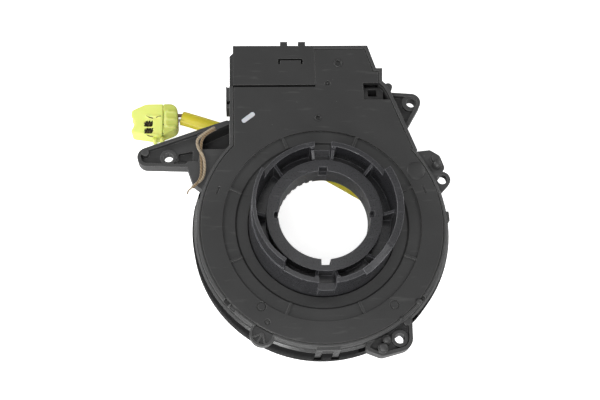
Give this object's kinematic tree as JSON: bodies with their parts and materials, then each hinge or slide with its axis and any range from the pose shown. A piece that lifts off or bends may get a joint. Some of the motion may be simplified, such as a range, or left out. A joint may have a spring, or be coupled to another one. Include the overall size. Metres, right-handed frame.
{
  "type": "steering clock spring",
  "caption": "Steering clock spring: charcoal plastic stator with three screw ears, cam-collared bored rotor and a yellow airbag pigtail.",
  "frame": {"origin": "on the steering shaft axis, in the plane of the rear cover's outer face, where the shaft bore begins", "axes": "+Z along the shaft away from the steering wheel, +Y towards the terminal block, +X to the right of the block seen from +Z"},
  "size_m": [0.1398, 0.1407, 0.058],
  "materials": {
    "casing_plastic": "satin moulded",
    "cover_plastic": "fine moulded texture",
    "hub_plastic": "satin moulded",
    "dark_gloss": "glossy",
    "pale_insert": "smooth",
    "tan_band": "matt",
    "contact_brass": "plated",
    "sheet_film": "film",
    "cable_film": "film",
    "yellow_tube": "soft satin",
    "pale_wire": "satin",
    "brown_wire": "satin",
    "plug_yellow": "satin moulded",
    "plug_green": "satin moulded"
  },
  "bodies": {
    "stator": {"stator_casing": "casing_plastic", "rear_cover": "cover_plastic", "connector_cover": "cover_plastic", "slot_insert": "pale_insert", "front_ring": "dark_gloss", "retaining_band": "tan_band", "stator_connector": "dark_gloss", "stator_terminals": "contact_brass", "upper_slide_sheet": "sheet_film", "flat_cable": "cable_film", "outer_cable_block": "pale_insert"},
    "rotor": {"rotor_hub": "hub_plastic", "rotor_disc": "casing_plastic", "lower_slide_sheet": "sheet_film", "inner_cable_block": "pale_insert", "switch_connector": "dark_gloss", "switch_terminals": "contact_brass", "pigtail_clamp": "casing_plastic", "pigtail_tube": "yellow_tube", "lead_wire_pale": "pale_wire", "lead_wire_brown": "brown_wire", "airbag_plug": "plug_yellow", "airbag_plug_cover": "plug_green", "airbag_contacts": "contact_brass"}
  },
  "joints": [
    {"name": "rotor_turn", "type": "hinge", "parent": "stator", "child": "rotor", "pos_m": [0, 0, 0], "axis": [0, 0, 1], "range_deg": [-900, 900]}
  ]
}
